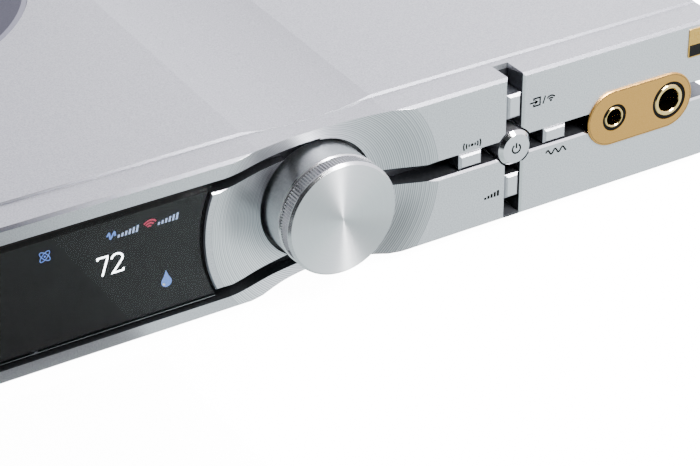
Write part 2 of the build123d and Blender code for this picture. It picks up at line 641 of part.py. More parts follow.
with BuildPart() as side_rails:
    with BuildSketch(Plane.XY.offset(TRAY_TOP)):
        with Locations((-RAIL_X, 4), (RAIL_X, 4)):
            Rectangle(RAIL_W, RAIL_LEN)
    extrude(amount=RAIL_H)
    with BuildSketch(Plane.YZ.offset(-INNER_HALF_W)):
        with Locations(*[(y, SIDE_SCREW_Z) for y in SIDE_SCREW_Y]):
            Circle(1.3)
    extrude(amount=5, mode=Mode.SUBTRACT)
    with BuildSketch(Plane.YZ.offset(INNER_HALF_W - 5)):
        with Locations(*[(y, SIDE_SCREW_Z) for y in SIDE_SCREW_Y]):
            Circle(1.3)
    extrude(amount=5, mode=Mode.SUBTRACT)
    with BuildSketch(Plane.XY.offset(TRAY_TOP)):
        with Locations(*TRAY_SCREW_SPOTS):
            Circle(1.3)
    extrude(amount=5, mode=Mode.SUBTRACT)
write(side_rails.part, "side_rails")


def socket_screw(x, y, z, axis, head_r, head_h, shank_r, shank_l):
    """A button-head screw whose head stands out along the axis from the given point."""
    seat = Plane(origin=(x, y, z), z_dir=axis)
    with BuildSketch(seat) as head:
        Circle(head_r)
    extrude(head.sketch, amount=head_h)
    with BuildSketch(seat) as shank:
        Circle(shank_r)
    extrude(shank.sketch, amount=-shank_l)
    with BuildSketch(seat.offset(head_h)) as socket:
        RegularPolygon(head_r * 0.5, 6)
    extrude(socket.sketch, amount=-head_h * 0.6, mode=Mode.SUBTRACT)


with BuildPart() as cover_screws:
    for side in (-1, 1):
        for screw_y in SIDE_SCREW_Y:
            socket_screw(side * (HALF_W - 2.0), screw_y, SIDE_SCREW_Z, (side, 0, 0), 1.95, 1.6, 1.25, 5.0)
write(cover_screws.part, "cover_screws")

with BuildPart() as tray_screws:
    for screw_x, screw_y in TRAY_SCREW_SPOTS:
        socket_screw(screw_x, screw_y, BASE_Z, (0, 0, -1), 2.8, 1.3, 1.25, 6.0)
write(tray_screws.part, "tray_screws")

with BuildPart() as foot_cups:
    with BuildSketch(Plane.XY.offset(1.0)):
        with Locations(*FOOT_SPOTS):
            Circle(9.0)
    extrude(amount=FOOT_H - 1.0)
    with BuildSketch(Plane.XY.offset(1.0)):
        with Locations(*FOOT_SPOTS):
            Circle(7.5)
    extrude(amount=1.0, mode=Mode.SUBTRACT)
write(foot_cups.part, "foot_cups")

with BuildPart() as foot_pads:
    with BuildSketch(Plane.XY):
        with Locations(*FOOT_SPOTS):
            Circle(7.5)
    extrude(amount=2.0)
    chamfer(foot_pads.faces().group_by(Axis.Z)[0].edges(), 0.3)
write(foot_pads.part, "foot_pads")

# ---- rear panel and its sockets --------------------------------------------------------------------
REAR_LOW = BASE_Z + 0.05
REAR_HIGH = TOP_Z - COVER_T - 0.05
REAR_MID = (REAR_LOW + REAR_HIGH) / 2
SOCKET_Z = BASE_Z + 20.0
INLET_X = 92.0
ROCKER_X = 54.0
USB_X = 12.0
OPTICAL_X = -7.0
COAX_X = -24.0
RCA_X = (-42.0, -58.0)
RCA_Z = (SOCKET_Z - 8.5, SOCKET_Z + 8.5)
RCA_SPOTS = [(x, z) for x in RCA_X for z in RCA_Z] + [(COAX_X, SOCKET_Z)]
XLR_X = (-79.0, -107.0)
XLR_HOLE_R = 11.8
REAR_SCREW_SPOTS = [(side * RAIL_X, TRAY_TOP + 4.5) for side in (-1, 1)]
ROCKER_W = 12.6
ROCKER_H = 19.0

with BuildPart() as rear_panel:
    with BuildSketch(facing_back(REAR_FRONT, 0, REAR_MID)):
        Rectangle(2 * INNER_HALF_W - 0.1, REAR_HIGH - REAR_LOW)
    extrude(amount=REAR_T - 0.1)
    with BuildSketch(facing_back(REAR_FRONT)):
        with Locations((-INLET_X, SOCKET_Z)):
            Rectangle(28, 20.5)
        with Locations((-INLET_X + 20, SOCKET_Z), (-INLET_X - 20, SOCKET_Z)):
            Circle(1.3)
        with Locations((-ROCKER_X, SOCKET_Z)):
            Rectangle(14.0, 21.0)
        with Locations((-USB_X, SOCKET_Z)):
            Rectangle(12.4, 11.2)
        with Locations((-OPTICAL_X, SOCKET_Z)):
            Rectangle(10.4, 10.4)
        with Locations(*[(-x, z) for x, z in RCA_SPOTS]):
            Circle(4.8)
        with Locations(*[(-x, SOCKET_Z) for x in XLR_X]):
            Circle(XLR_HOLE_R)
        with Locations((-ANTENNA_X, ANTENNA_Z)):
            Circle(3.1)
        with Locations(*[(-x, z) for x, z in REAR_SCREW_SPOTS]):
            Circle(1.6)
    extrude(amount=REAR_T, mode=Mode.SUBTRACT)
write(rear_panel.part, "rear_panel")

REAR_FACE = BACK - 0.1
with BuildPart() as rear_screws:
    for screw_x, screw_z in REAR_SCREW_SPOTS:
        socket_screw(screw_x, REAR_FACE, screw_z, (0, 1, 0), 2.6, 1.4, 1.25, 2.4)
write(rear_screws.part, "rear_screws")

XLR_CUP_R = 9.4
XLR_DEPTH = 16.0
XLR_PIN_CIRCLE_R = 4.6
with BuildPart() as xlr_sockets:
    with BuildSketch(facing_back(REAR_FACE)):
        with Locations(*[(-x, SOCKET_Z) for x in XLR_X]):
            RectangleRounded(26, 31, 2.5)
    extrude(amount=1.6)
    with BuildSketch(facing_back(REAR_FACE)):
        with Locations(*[(-x, SOCKET_Z) for x in XLR_X]):
            Circle(XLR_HOLE_R - 0.2)
    extrude(amount=-(XLR_DEPTH + 2))
    with BuildSketch(facing_back(REAR_FACE + 1.6)):
        with Locations(*[(-x, SOCKET_Z) for x in XLR_X]):
            Circle(XLR_CUP_R)
    extrude(amount=-(XLR_DEPTH + 1.6), mode=Mode.SUBTRACT)
    with BuildSketch(facing_back(REAR_FACE - XLR_DEPTH)):
        for xlr_x in XLR_X:
            with Locations((-xlr_x, SOCKET_Z)):
                with PolarLocations(XLR_PIN_CIRCLE_R, 3, start_angle=90):
                    Circle(1.2)
    extrude(amount=XLR_DEPTH - 2)
    with BuildSketch(facing_back(REAR_FACE + 1.6)):
        for xlr_x in XLR_X:
            with Locations((-xlr_x - 9.5, SOCKET_Z + 12), (-xlr_x + 9.5, SOCKET_Z - 12)):
                Circle(1.6)
    extrude(amount=-1.0, mode=Mode.SUBTRACT)
write(xlr_sockets.part, "xlr_sockets")

RCA_OUT = 9.0
with BuildPart() as rca_sockets:
    with BuildSketch(facing_back(REAR_FACE)):
        with Locations(*[(-x, z) for x, z in RCA_SPOTS]):
            Circle(5.6)
        with Locations(*[(-x, z) for x, z in RCA_SPOTS]):
            Circle(1.7, mode=Mode.SUBTRACT)
    extrude(amount=1.5)
    with BuildSketch(facing_back(REAR_FACE + 1.5)):
        with Locations(*[(-x, z) for x, z in RCA_SPOTS]):
            Circle(4.15)
        with Locations(*[(-x, z) for x, z in RCA_SPOTS]):
            Circle(1.7, mode=Mode.SUBTRACT)
    extrude(amount=RCA_OUT - 1.5)
    with BuildSketch(facing_back(REAR_FACE)):
        with Locations(*[(-x, z) for x, z in RCA_SPOTS]):
            Circle(4.7)
    extrude(amount=-9.0)
write(rca_sockets.part, "rca_sockets")

with BuildPart() as digital_sockets:
    with BuildSketch(facing_back(REAR_FACE - 12)):
        with Locations((-USB_X, SOCKET_Z)):
            Rectangle(12.0, 10.8)
    extrude(amount=12.4)
    with BuildSketch(facing_back(REAR_FACE + 0.4)):
        with Locations((-USB_X, SOCKET_Z)):
            Rectangle(8.8, 8.0)
            Rectangle(5.6, 3.2, mode=Mode.SUBTRACT)
    extrude(amount=-9, mode=Mode.SUBTRACT)
    with BuildSketch(facing_back(REAR_FACE - 10)):
        with Locations((-OPTICAL_X, SOCKET_Z)):
            Rectangle(10.0, 10.0)
    extrude(amount=10.6)
    with BuildSketch(facing_back(REAR_FACE + 0.6)):
        with Locations((-OPTICAL_X, SOCKET_Z)):
            Rectangle(6.2, 6.2)
    extrude(amount=-0.8, mode=Mode.SUBTRACT)
write(digital_sockets.part, "digital_sockets")

INLET_DEPTH = 14.0
INLET_PINS = ((-7.0, -2.0), (0.0, 2.0), (7.0, -2.0))
with BuildPart() as mains_inlet:
    with BuildSketch(facing_back(REAR_FACE, INLET_X, SOCKET_Z)):
        RectangleRounded(50, 23, 3)
    extrude(amount=2.2)
    with BuildSketch(facing_back(REAR_FACE, INLET_X, SOCKET_Z)):
        Rectangle(27.4, 19.9)
    extrude(amount=-(INLET_DEPTH + 3))
    with BuildSketch(facing_back(REAR_FACE + 2.2, INLET_X, SOCKET_Z)):
        RectangleRounded(24, 16, 2.5)
    extrude(amount=-(INLET_DEPTH + 2.2), mode=Mode.SUBTRACT)
    with BuildSketch(facing_back(REAR_FACE - INLET_DEPTH, INLET_X, SOCKET_Z)):
        with Locations(*INLET_PINS):
            Rectangle(2, 4)
    extrude(amount=INLET_DEPTH - 4)
    with BuildSketch(facing_back(REAR_FACE + 2.2, INLET_X, SOCKET_Z)):
        with Locations((-20, 0), (20, 0)):
            Circle(2.6)
    extrude(amount=-1.4, mode=Mode.SUBTRACT)
write(mains_inlet.part, "mains_inlet")

with BuildPart() as rocker_frame:
    with BuildSketch(facing_back(REAR_FACE, ROCKER_X, SOCKET_Z)):
        RectangleRounded(16.5, 23.5, 1)
        Rectangle(ROCKER_W, ROCKER_H, mode=Mode.SUBTRACT)
    extrude(amount=1.8)
    with BuildSketch(facing_back(REAR_FACE, ROCKER_X, SOCKET_Z)):
        Rectangle(13.8, 20.8)
        Rectangle(ROCKER_W, ROCKER_H, mode=Mode.SUBTRACT)
    extrude(amount=-16)
    with BuildSketch(facing_back(REAR_FACE - 16, ROCKER_X, SOCKET_Z)):
        Rectangle(13.8, 20.8)
    extrude(amount=-2)
write(rocker_frame.part, "rocker_frame")

ROCKER_PIVOT_Y = REAR_FACE - 4.0
with BuildPart() as power_rocker:
    with BuildSketch(Plane.YZ.offset(ROCKER_X - ROCKER_W / 2 + 0.3)):
        with BuildLine():
            Polyline(
                (ROCKER_PIVOT_Y - 3, SOCKET_Z - 6),
                (ROCKER_PIVOT_Y - 3, SOCKET_Z + 6),
                (ROCKER_PIVOT_Y + 2, SOCKET_Z + 8.4),
                (ROCKER_PIVOT_Y + 6.4, SOCKET_Z + 8.4),
                (ROCKER_PIVOT_Y + 5.0, SOCKET_Z),
                (ROCKER_PIVOT_Y + 6.4, SOCKET_Z - 8.4),
                (ROCKER_PIVOT_Y + 2, SOCKET_Z - 8.4),
                (ROCKER_PIVOT_Y - 3, SOCKET_Z - 6),
            )
        make_face()
    extrude(amount=ROCKER_W - 0.6)
write(power_rocker.part, "power_rocker")

# ---- wireless antenna on its swivel and tilt joints ------------------------------------------------
ANTENNA_AXIS = Axis((ANTENNA_X, 0, ANTENNA_Z), (0, 1, 0))
with BuildPart() as antenna_socket:
    with BuildSketch(facing_back(REAR_FACE, ANTENNA_X, ANTENNA_Z)):
        RegularPolygon(4.6, 6)
    extrude(amount=2.0)
    with BuildSketch(facing_back(REAR_FACE + 2.0, ANTENNA_X, ANTENNA_Z)):
        Circle(3.0)
    extrude(amount=5.0)
    with BuildSketch(facing_back(REAR_FACE, ANTENNA_X, ANTENNA_Z)):
        Circle(3.0)
    extrude(amount=-8.0)
write(antenna_socket.part, "antenna_socket")

FORK_GAP = 5.0
with BuildPart() as antenna_swivel:
    with BuildSketch(facing_back(REAR_FACE + 2.5, ANTENNA_X, ANTENNA_Z)):
        Circle(4.8)
        Circle(3.05, mode=Mode.SUBTRACT)
    extrude(amount=5.0)
    with BuildSketch(facing_back(REAR_FACE + 7.5, ANTENNA_X, ANTENNA_Z)):
        Circle(4.8)
    extrude(amount=2.0)
    with BuildSketch(facing_back(REAR_FACE + 9.5, ANTENNA_X, ANTENNA_Z)):
        with Locations((-FORK_GAP / 2 - 1.1, 0), (FORK_GAP / 2 + 1.1, 0)):
            Rectangle(2.2, 7.0)
    extrude(amount=ANTENNA_TILT_Y - REAR_FACE - 9.5)
    with BuildSketch(Plane.YZ.offset(ANTENNA_X - FORK_GAP / 2 - 2.2)):
        with Locations((ANTENNA_TILT_Y, ANTENNA_Z)):
            Circle(3.5)
    extrude(amount=2.2)
    with BuildSketch(Plane.YZ.offset(ANTENNA_X + FORK_GAP / 2)):
        with Locations((ANTENNA_TILT_Y, ANTENNA_Z)):
            Circle(3.5)
    extrude(amount=2.2)
    with BuildSketch(Plane.YZ.offset(ANTENNA_X - FORK_GAP / 2 - 3)):
        with Locations((ANTENNA_TILT_Y, ANTENNA_Z)):
            Circle(1.2)
    extrude(amount=FORK_GAP + 6, mode=Mode.SUBTRACT)
write(antenna_swivel.part, "antenna_swivel")

with BuildPart() as antenna_pin:
    with BuildSketch(Plane.YZ.offset(ANTENNA_X - FORK_GAP / 2 - 2.2)):
        with Locations((ANTENNA_TILT_Y, ANTENNA_Z)):
            Circle(1.2)
    extrude(amount=FORK_GAP + 4.4)
write(antenna_pin.part, "antenna_pin")

ROD_LEN = 92.0
with BuildPart() as antenna_rod:
    with BuildSketch(Plane.YZ.offset(ANTENNA_X - FORK_GAP / 2 + 0.2)):
        with Locations((ANTENNA_TILT_Y, ANTENNA_Z)):
            Circle(3.3)
        with Locations((ANTENNA_TILT_Y, ANTENNA_Z + 4)):
            Rectangle(5.0, 8)
    extrude(amount=FORK_GAP - 0.4)
    with BuildSketch(Plane.XY.offset(ANTENNA_Z + 6.5)):
        with Locations((ANTENNA_X, ANTENNA_TILT_Y)):
            Circle(ANTENNA_R)
    with BuildSketch(Plane.XY.offset(ANTENNA_Z + 6.5 + ROD_LEN)):
        with Locations((ANTENNA_X, ANTENNA_TILT_Y)):
            Circle(3.4)
    loft()
    fillet(antenna_rod.faces().sort_by(Axis.Z)[-1].edges(), 1.6)
    with BuildSketch(Plane.YZ.offset(ANTENNA_X - FORK_GAP / 2)):
        with Locations((ANTENNA_TILT_Y, ANTENNA_Z)):
            Circle(1.25)
    extrude(amount=FORK_GAP, mode=Mode.SUBTRACT)
write(antenna_rod.part, "antenna_rod")

# ---- electronics ----------------------------------------------------------------------------------
BOARD_Z = TRAY_TOP + STANDOFF_H
BOARD_T = 1.6
BOARD_TOP = BOARD_Z + BOARD_T
BOARD_X0 = -118.0
BOARD_X1 = 78.0
BOARD_Y0 = FRONT + 30.0
BOARD_Y1 = BACK - 22.0

with BuildPart() as standoffs:
    with BuildSketch(Plane.XY.offset(TRAY_TOP)):
        with Locations(*STANDOFF_SPOTS):
            RegularPolygon(2.9, 6)
    extrude(amount=STANDOFF_H)
write(standoffs.part, "standoffs")

with BuildPart() as main_board:
    with BuildSketch(Plane.XY.offset(BOARD_Z)):
        with Locations(((BOARD_X0 + BOARD_X1) / 2, (BOARD_Y0 + BOARD_Y1) / 2)):
            RectangleRounded(BOARD_X1 - BOARD_X0, BOARD_Y1 - BOARD_Y0, 3)
        with Locations(*STANDOFF_SPOTS):
            Circle(1.5, mode=Mode.SUBTRACT)
    extrude(amount=BOARD_T)
write(main_board.part, "main_board")

with BuildPart() as board_screws:
    for screw_x, screw_y in STANDOFF_SPOTS:
        socket_screw(screw_x, screw_y, BOARD_TOP, (0, 0, 1), 2.6, 1.5, 1.3, BOARD_T)
write(board_screws.part, "board_screws")

CAP_SPOTS = [(10.0 + 15.0 * column, 25.0 + 15.0 * row) for column in range(4) for row in range(2)]
with BuildPart() as capacitors:
    with BuildSketch(Plane.XY.offset(BOARD_TOP)):
        with Locations(*CAP_SPOTS):
            Circle(6.3)
    extrude(amount=20)
    fillet(capacitors.faces().group_by(Axis.Z)[-1].edges(), 0.7)
write(capacitors.part, "capacitors")

CHIP_SPOTS = [(-95.0 + 22.0 * column, -55.0 + 24.0 * row) for column in range(4) for row in range(2)]
RELAY_SPOTS = [(20.0 + 13.0 * column, -58.0) for column in range(4)]
with BuildPart() as chips_and_relays:
    with BuildSketch(Plane.XY.offset(BOARD_TOP)):
        with Locations(*CHIP_SPOTS):
            RectangleRounded(10, 10, 0.5)
    extrude(amount=1.4)
    with BuildSketch(Plane.XY.offset(BOARD_TOP)):
        with Locations(*RELAY_SPOTS):
            Rectangle(9, 15)
    extrude(amount=9)
write(chips_and_relays.part, "chips_and_relays")

FIN_COUNT = 12
with BuildPart() as heatsink:
    with BuildSketch(Plane.XY.offset(BOARD_TOP)):
        with Locations((-62, 35)):
            Rectangle(84, 34)
    extrude(amount=3)
    with BuildSketch(Plane.XY.offset(BOARD_TOP + 3)):
        with Locations((-62, 35)):
            with GridLocations(84 / FIN_COUNT, 0, FIN_COUNT, 1):
                Rectangle(1.6, 34)
    extrude(amount=15)
write(heatsink.part, "heatsink")

with BuildPart() as power_module:
    with BuildSketch(Plane.XY.offset(TRAY_TOP)):
        with Locations((101, 20)):
            RectangleRounded(34, 120, 1.5)
    extrude(amount=26)
write(power_module.part, "power_module")
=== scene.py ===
"""Desktop headphone amplifier: finishes, printed marks, display, light and camera."""
import json
from math import cos, pi, radians, sin

import bmesh
import bpy
from mathutils import Matrix, Vector


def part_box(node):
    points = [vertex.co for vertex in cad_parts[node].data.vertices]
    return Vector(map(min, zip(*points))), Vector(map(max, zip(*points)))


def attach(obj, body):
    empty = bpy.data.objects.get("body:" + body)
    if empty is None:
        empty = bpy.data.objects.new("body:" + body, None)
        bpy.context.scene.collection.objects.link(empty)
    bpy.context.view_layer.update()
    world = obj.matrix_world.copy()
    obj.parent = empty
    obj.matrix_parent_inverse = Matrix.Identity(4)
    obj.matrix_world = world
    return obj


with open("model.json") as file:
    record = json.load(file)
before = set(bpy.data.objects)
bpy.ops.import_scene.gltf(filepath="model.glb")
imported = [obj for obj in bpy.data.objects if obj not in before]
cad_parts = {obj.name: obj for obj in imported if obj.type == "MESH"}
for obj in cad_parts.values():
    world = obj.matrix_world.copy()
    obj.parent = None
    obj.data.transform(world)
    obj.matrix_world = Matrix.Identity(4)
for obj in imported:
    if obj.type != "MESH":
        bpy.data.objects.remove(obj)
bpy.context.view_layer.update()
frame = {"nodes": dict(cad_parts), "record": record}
NODES = frame["nodes"]

MM = 0.001

# ---- places taken from the frame -----------------------------------------------------------------


def corners(node):
    """Lowest and highest corner of a node, as vectors in metres."""
    low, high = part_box(node)
    return Vector(low), Vector(high)


def middle(node):
    """Middle of a node's box."""
    low, high = corners(node)
    return (low + high) / 2


KNOB_FRONT = corners("knob")[0].y
KNOB_AXIS = middle("knob")
BLOCK_LOW, BLOCK_HIGH = corners("front_panel_top")
FACE_Y = BLOCK_LOW.y
POWER = middle("power_button")
POWER_FRONT = corners("power_button")[0].y
DISPLAY_FACE = corners("display_module")[0].y
DISC_TOP = corners("top_disc")[1].z
CASE_LOW, CASE_HIGH = corners("top_cover")
FACE_BOTTOM = corners("front_panel_bottom")[0].z

# ---- node helpers ----------------------------------------------------------------------------------


def colour(code, alpha=1.0):
    """A hex colour as the eye reads it, turned into the linear values that light is added up in."""
    channels = [int(code[start:start + 2], 16) / 255 for start in (0, 2, 4)]
    return tuple(c / 12.92 if c <= 0.04045 else ((c + 0.055) / 1.055) ** 2.4 for c in channels) + (alpha,)


def add(material, kind, settings=None, links=None):
    """Add a node, set its properties and sockets, and join named inputs to other nodes' outputs."""
    made = material.node_tree.nodes.new(kind)
    for name, value in (settings or {}).items():
        if isinstance(name, str) and hasattr(made, name):
            setattr(made, name, value)
        else:
            made.inputs[name].default_value = value
    for name, source in (links or {}).items():
        material.node_tree.links.new(source, made.inputs[name])
    return made


def start(name, **sockets):
    """An empty material with its surface shader, whose plain values go straight on the sockets."""
    material = bpy.data.materials.new(name)
    material.use_nodes = True
    shader = material.node_tree.nodes["Principled BSDF"]
    for socket, value in sockets.items():
        shader.inputs[socket.replace("_", " ")].default_value = value
    return material, shader


def plug(material, source, target):
    """Join an output to an input."""
    material.node_tree.links.new(source, target)


def ramp(material, source, stops):
    """A colour ramp through (position, colour) stops."""
    made = add(material, "ShaderNodeValToRGB", links={"Fac": source})
    elements = made.color_ramp.elements
    while len(elements) < len(stops):
        elements.new(0.5)
    for element, (position, tint) in zip(elements, stops):
        element.position = position
        element.color = tint
    return made.outputs["Color"]


def grains(material, pitch_mm, detail=2.0):
    """Noise whose lumps are about this many millimetres across."""
    place = add(material, "ShaderNodeTexCoord")
    made = add(material, "ShaderNodeTexNoise", {"Scale": 1.0 / (pitch_mm * MM), "Detail": detail},
               {"Vector": place.outputs["Object"]})
    return made.outputs["Fac"]


def span(material, source, low, high):
    """Map 0..1 onto low..high."""
    made = add(material, "ShaderNodeMapRange", {"To Min": low, "To Max": high}, {"Value": source})
    return made.outputs["Result"]


def bump(material, shader, height, depth_mm, strength=1.0):
    """Relief of this depth on the surface."""
    relief = add(material, "ShaderNodeBump", {"Strength": strength, "Distance": depth_mm * MM},
                 {"Height": height})
    plug(material, relief.outputs["Normal"], shader.inputs["Normal"])


# ---- materials -------------------------------------------------------------------------------------

BLAST_PITCH_MM = 0.34       # dents of the blasting, drawn a little coarser than real so that they show
CLOUD_PITCH_MM = 42.0       # slow change in gloss across a sheet
DOT_PITCH_MM = 0.2          # light dots of the display


def blasted_aluminium(name, tint, dark, light):
    """Bead-blasted and clear-anodised aluminium: a fine sparkle of tiny dents, soft broad reflections."""
    material, shader = start(name, Metallic=1.0, Roughness=0.46)
    fine = grains(material, BLAST_PITCH_MM, 3.0)
    broad = grains(material, CLOUD_PITCH_MM, 1.0)
    plug(material, ramp(material, fine, [(0.3, colour(dark)), (0.52, colour(tint)), (0.75, colour(light))]),
         shader.inputs["Base Color"])
    plug(material, span(material, broad, 0.43, 0.5), shader.inputs["Roughness"])
    bump(material, shader, fine, 0.012, 0.5)
    return material


def turned_aluminium(name, tint, pitch_mm, roughness, relief_mm, contrast):
    """Aluminium faced on a lathe: fine rings round the knob's axis that drag highlights into a bow-tie.

    The tint is a pair, for the valleys and the crests of the rings.
    """
    material, shader = start(name, Metallic=1.0, Roughness=roughness, Anisotropic=0.95)
    place = add(material, "ShaderNodeTexCoord")
    from_axis = add(material, "ShaderNodeVectorMath", {"operation": "SUBTRACT", 1: KNOB_AXIS},
                    {0: place.outputs["Object"]})
    flat = add(material, "ShaderNodeVectorMath", {"operation": "MULTIPLY", 1: (1.0, 0.0, 1.0)},
               {0: from_axis.outputs["Vector"]})
    radius = add(material, "ShaderNodeVectorMath", {"operation": "LENGTH"}, {0: flat.outputs["Vector"]})
    turns = add(material, "ShaderNodeMath", {"operation": "MULTIPLY", 1: 2 * pi / (pitch_mm * MM)},
                {0: radius.outputs["Value"]})
    groove = add(material, "ShaderNodeMath", {"operation": "SINE"}, {0: turns.outputs["Value"]})
    ring_place = add(material, "ShaderNodeCombineXYZ", links={"X": radius.outputs["Value"]})
    uneven = add(material, "ShaderNodeTexNoise", {"Scale": 1 / (0.5 * MM), "Detail": 2.0},
                 {"Vector": ring_place.outputs["Vector"]})
    rings = add(material, "ShaderNodeMath", {"operation": "MULTIPLY_ADD", 1: contrast},
                {0: groove.outputs["Value"], 2: uneven.outputs["Fac"]})
    plug(material, ramp(material, rings.outputs["Value"],
                        [(0.2, colour(tint[0])), (0.8, colour(tint[1]))]), shader.inputs["Base Color"])
    outward = add(material, "ShaderNodeVectorTransform",
                  {"vector_type": "VECTOR", "convert_from": "OBJECT", "convert_to": "WORLD"},
                  {"Vector": flat.outputs["Vector"]})
    unit = add(material, "ShaderNodeVectorMath", {"operation": "NORMALIZE"}, {0: outward.outputs["Vector"]})
    plug(material, unit.outputs["Vector"], shader.inputs["Tangent"])
    bump(material, shader, rings.outputs["Value"], relief_mm, 1.0)
    return material


def plain_metal(name, tint, roughness, pitch_mm=0.5, relief=0.003):
    """Machined or plated metal with a faint tool texture that breaks its highlights a little."""
    material, shader = start(name, Metallic=1.0, Roughness=roughness)
    fine = grains(material, pitch_mm)
    plug(material, ramp(material, fine, [(0.3, colour(tint[0])), (0.7, colour(tint[1]))]),
         shader.inputs["Base Color"])
    plug(material, span(material, fine, roughness * 0.85, roughness * 1.15), shader.inputs["Roughness"])
    bump(material, shader, fine, relief, 0.4)
    return material


def coat(name, tint, roughness, pitch_mm=0.4, relief=0.01, metallic=0.0, shine=0.5):
    """Moulded plastic, powder coat or anodising that hides the metal: an even colour with a fine skin."""
    material, shader = start(name, Metallic=metallic, Roughness=roughness, Specular_IOR_Level=shine)
    fine = grains(material, pitch_mm)
    plug(material, ramp(material, fine, [(0.3, colour(tint[0])), (0.7, colour(tint[1]))]),
         shader.inputs["Base Color"])
    plug(material, span(material, fine, roughness * 0.9, min(1.0, roughness * 1.1)),
         shader.inputs["Roughness"])
    bump(material, shader, fine, relief, 0.5)
    return material


def glow(name, dim, bright, power):
    """A lit shape on the display: light of one colour, a little brighter at the middle of each dot."""
    material, shader = start(name, Roughness=0.6)
    shader.inputs["Base Color"].default_value = colour("101010")
    shader.inputs["Emission Strength"].default_value = power
    place = add(material, "ShaderNodeTexCoord")
    dots = add(material, "ShaderNodeTexVoronoi", {"Scale": 1 / (DOT_PITCH_MM * MM)},
               {"Vector": place.outputs["Object"]})
    plug(material, ramp(material, dots.outputs["Distance"], [(0.2, colour(bright)), (0.7, colour(dim))]),
         shader.inputs["Emission Color"])
    return material


def screen_off(name, dim, bright):
    """The unlit area of the panel, with a painted glow: it emits an even dark grey in place of the grey the
    dark screen shows through its glass.
    """
    material, shader = start(name, Roughness=0.6)
    shader.inputs["Base Color"].default_value = colour("0c0c0c")
    shader.inputs["Emission Strength"].default_value = 1.0
    painted_glow = grains(material, 30.0, 0.0)
    plug(material, ramp(material, painted_glow, [(0.3, colour(dim)), (0.7, colour(bright))]),
         shader.inputs["Emission Color"])
    return material


def display_glass(name):
    """Toughened cover glass with a coating against reflections: it shows the display behind it."""
    material, shader = start(name, Roughness=0.0)
    shader.inputs["Transmission Weight"].default_value = 1.0
    shader.inputs["IOR"].default_value = 1.1
    smear = grains(material, 9.0)
    plug(material, ramp(material, smear, [(0.3, colour("eff2f3")), (0.7, colour("f6f8f9"))]),
         shader.inputs["Base Color"])
    return material


